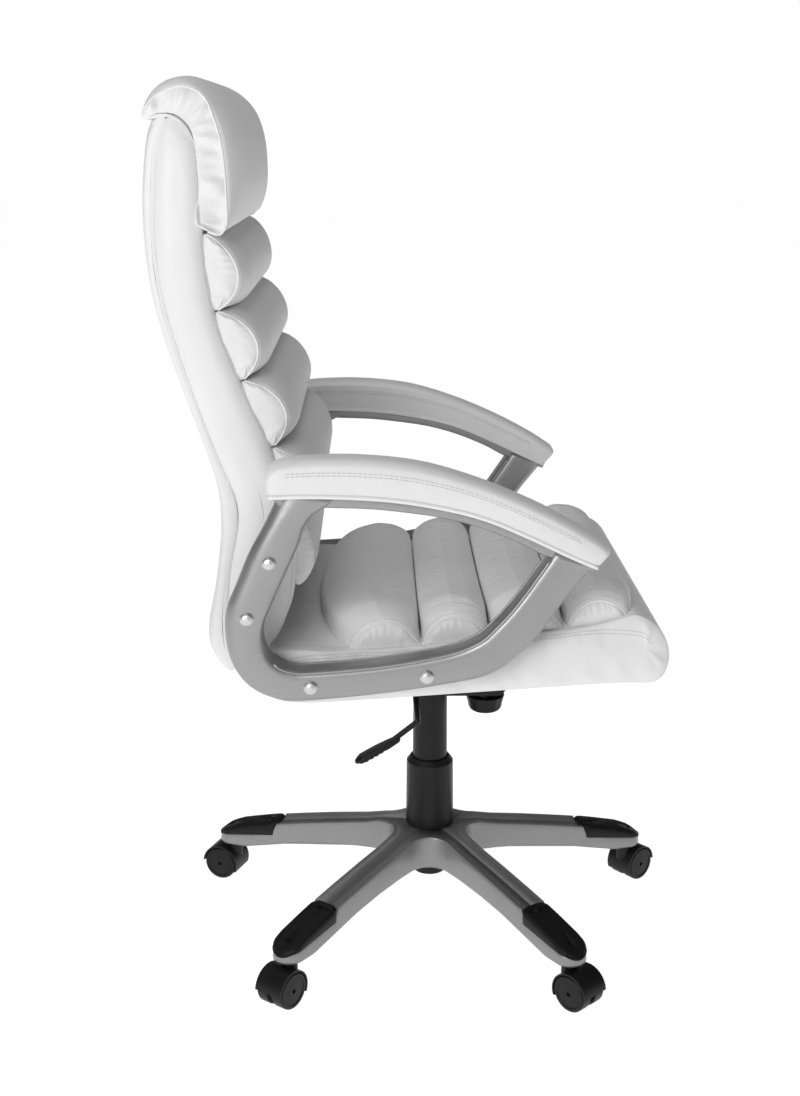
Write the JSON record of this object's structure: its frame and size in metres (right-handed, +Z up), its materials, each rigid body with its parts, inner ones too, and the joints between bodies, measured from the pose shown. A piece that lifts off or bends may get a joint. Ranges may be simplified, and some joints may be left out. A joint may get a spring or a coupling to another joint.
{
  "type": "swivel office chair",
  "caption": "High-backed executive office chair with padded rolls, closed-loop arms, gas lift, rocking seat and a five-star base on twin-wheel casters.",
  "frame": {"origin": "on the floor, under the middle of the column", "axes": "+Z up; the sitter looks along -Y; the sitter's right arm is at -X"},
  "size_m": [0.6887, 0.7021, 1.181],
  "materials": {
    "silver_paint": "satin",
    "black_plastic": "matte",
    "wheel_nylon": "satin",
    "white_leather": "satin",
    "plywood": "matte",
    "lining": "matte",
    "black_steel": "satin",
    "natural_plastic": "gloss",
    "bright_steel": "satin"
  },
  "bodies": {
    "base": {"star_base": "silver_paint", "leg_cap_1": "black_plastic", "leg_cap_2": "black_plastic", "leg_cap_3": "black_plastic", "leg_cap_4": "black_plastic", "leg_cap_5": "black_plastic", "caster_stems": "bright_steel", "gas_outer_tube": "black_steel", "guide_bush": "natural_plastic", "lower_sleeve": "black_plastic", "thrust_bearing": "bright_steel"},
    "spindle": {"piston_rod": "bright_steel"},
    "carriage": {"gas_cylinder": "bright_steel", "upper_sleeve": "black_plastic", "mechanism_housing": "black_steel", "tilt_axle": "bright_steel", "tilt_spring": "bright_steel"},
    "valve": {"valve_button": "bright_steel"},
    "lock": {"lock_slider": "bright_steel"},
    "lever": {"lever_rod": "black_steel", "lever_grip": "black_plastic"},
    "tension": {"tension_bolt": "bright_steel"},
    "knob": {"tension_knob": "black_plastic"},
    "seat": {"seat_plate": "black_steel", "seat_plate_bolts": "bright_steel", "seat_board": "plywood", "dust_cover": "lining", "seat_cushion": "white_leather", "seat_rolls": "white_leather", "back_shell": "white_leather", "back_cushion": "white_leather", "back_rolls": "white_leather", "headrest": "white_leather", "arm_frame_right": "silver_paint", "arm_frame_left": "silver_paint", "arm_pad_right": "white_leather", "arm_pad_left": "white_leather", "arm_bolts": "bright_steel"},
    "caster_1": {"caster_hood_1": "black_plastic", "caster_axle_1": "bright_steel"},
    "wheel_1_a": {"wheel_1_a": "wheel_nylon"},
    "wheel_1_b": {"wheel_1_b": "wheel_nylon"},
    "caster_2": {"caster_hood_2": "black_plastic", "caster_axle_2": "bright_steel"},
    "wheel_2_a": {"wheel_2_a": "wheel_nylon"},
    "wheel_2_b": {"wheel_2_b": "wheel_nylon"},
    "caster_3": {"caster_hood_3": "black_plastic", "caster_axle_3": "bright_steel"},
    "wheel_3_a": {"wheel_3_a": "wheel_nylon"},
    "wheel_3_b": {"wheel_3_b": "wheel_nylon"},
    "caster_4": {"caster_hood_4": "black_plastic", "caster_axle_4": "bright_steel"},
    "wheel_4_a": {"wheel_4_a": "wheel_nylon"},
    "wheel_4_b": {"wheel_4_b": "wheel_nylon"},
    "caster_5": {"caster_hood_5": "black_plastic", "caster_axle_5": "bright_steel"},
    "wheel_5_a": {"wheel_5_a": "wheel_nylon"},
    "wheel_5_b": {"wheel_5_b": "wheel_nylon"}
  },
  "joints": [
    {"name": "seat_swivel", "type": "hinge", "parent": "base", "child": "spindle", "pos_m": [0, 0, 0.1], "axis": [0, 0, 1], "continuous": true},
    {"name": "height_lift", "type": "slide", "parent": "spindle", "child": "carriage", "axis": [0, 0, 1], "range_m": [-0.055, 0.03]},
    {"name": "recline", "type": "hinge", "parent": "carriage", "child": "seat", "pos_m": [0, -0.03, 0.398], "axis": [-1, 0, 0], "range_deg": [0, 14], "stiffness_Nm_per_rad": 150, "springref_deg": -14.32},
    {"name": "lock_slide", "type": "slide", "parent": "carriage", "child": "lock", "axis": [-1, 0, 0], "range_m": [0, 0.012]},
    {"name": "height_lever", "type": "hinge", "parent": "lock", "child": "lever", "pos_m": [0, 0.023, 0.362], "axis": [1, 0, 0], "range_deg": [0, 8], "stiffness_Nm_per_rad": 1.2, "springref_deg": -8.59},
    {"name": "valve_press", "type": "slide", "parent": "carriage", "child": "valve", "axis": [0, 0, -1], "range_m": [0, 0.0032]},
    {"name": "tension_draw", "type": "slide", "parent": "carriage", "child": "tension", "axis": [0, 0, 1], "range_m": [0, 0.012], "deforming": ["tilt_spring"]},
    {"name": "tension_turn", "type": "hinge", "parent": "tension", "child": "knob", "pos_m": [0, -0.079, 0.32], "axis": [0, 0, 1], "range_deg": [-360, 360]},
    {"name": "caster_swivel_1", "type": "hinge", "parent": "base", "child": "caster_1", "pos_m": [0.31481, -0.01099, 0.045], "axis": [0, 0, 1], "continuous": true},
    {"name": "wheel_roll_1_a", "type": "hinge", "parent": "caster_1", "child": "wheel_1_a", "pos_m": [0.3318, -0.01159, 0.025], "axis": [0.0349, 0.9994, 0], "continuous": true},
    {"name": "wheel_roll_1_b", "type": "hinge", "parent": "caster_1", "child": "wheel_1_b", "pos_m": [0.3318, -0.01159, 0.025], "axis": [0.0349, 0.9994, 0], "continuous": true},
    {"name": "caster_swivel_2", "type": "hinge", "parent": "base", "child": "caster_2", "pos_m": [0.10774, 0.296, 0.045], "axis": [0, 0, 1], "continuous": true},
    {"name": "wheel_roll_2_a", "type": "hinge", "parent": "caster_2", "child": "wheel_2_a", "pos_m": [0.1141, 0.31177, 0.025], "axis": [-0.9272, 0.3746, 0], "continuous": true},
    {"name": "wheel_roll_2_b", "type": "hinge", "parent": "caster_2", "child": "wheel_2_b", "pos_m": [0.1141, 0.31177, 0.025], "axis": [-0.9272, 0.3746, 0], "continuous": true},
    {"name": "caster_swivel_3", "type": "hinge", "parent": "base", "child": "caster_3", "pos_m": [-0.24822, 0.19393, 0.045], "axis": [0, 0, 1], "continuous": true},
    {"name": "wheel_roll_3_a", "type": "hinge", "parent": "caster_3", "child": "wheel_3_a", "pos_m": [-0.2618, 0.20416, 0.025], "axis": [-0.6018, -0.7986, 0], "continuous": true},
    {"name": "wheel_roll_3_b", "type": "hinge", "parent": "caster_3", "child": "wheel_3_b", "pos_m": [-0.2618, 0.20416, 0.025], "axis": [-0.6018, -0.7986, 0], "continuous": true},
    {"name": "caster_swivel_4", "type": "hinge", "parent": "base", "child": "caster_4", "pos_m": [-0.26115, -0.17615, 0.045], "axis": [0, 0, 1], "continuous": true},
    {"name": "wheel_roll_4_a", "type": "hinge", "parent": "caster_4", "child": "wheel_4_a", "pos_m": [-0.27358, -0.18774, 0.025], "axis": [0.682, -0.7314, 0], "continuous": true},
    {"name": "wheel_roll_4_b", "type": "hinge", "parent": "caster_4", "child": "wheel_4_b", "pos_m": [-0.27358, -0.18774, 0.025], "axis": [0.682, -0.7314, 0], "continuous": true},
    {"name": "caster_swivel_5", "type": "hinge", "parent": "base", "child": "caster_5", "pos_m": [0.08683, -0.3028, 0.045], "axis": [0, 0, 1], "continuous": true},
    {"name": "wheel_roll_5_a", "type": "hinge", "parent": "caster_5", "child": "wheel_5_a", "pos_m": [0.09787, -0.31572, 0.025], "axis": [0.7604, 0.6494, 0], "continuous": true},
    {"name": "wheel_roll_5_b", "type": "hinge", "parent": "caster_5", "child": "wheel_5_b", "pos_m": [0.09787, -0.31572, 0.025], "axis": [0.7604, 0.6494, 0], "continuous": true}
  ],
  "couplings": [
    {"joint": "valve_press", "follows": "height_lever", "m_per_rad": 0.0219},
    {"joint": "tension_draw", "follows": "recline", "m_per_rad": 0.0478}
  ]
}
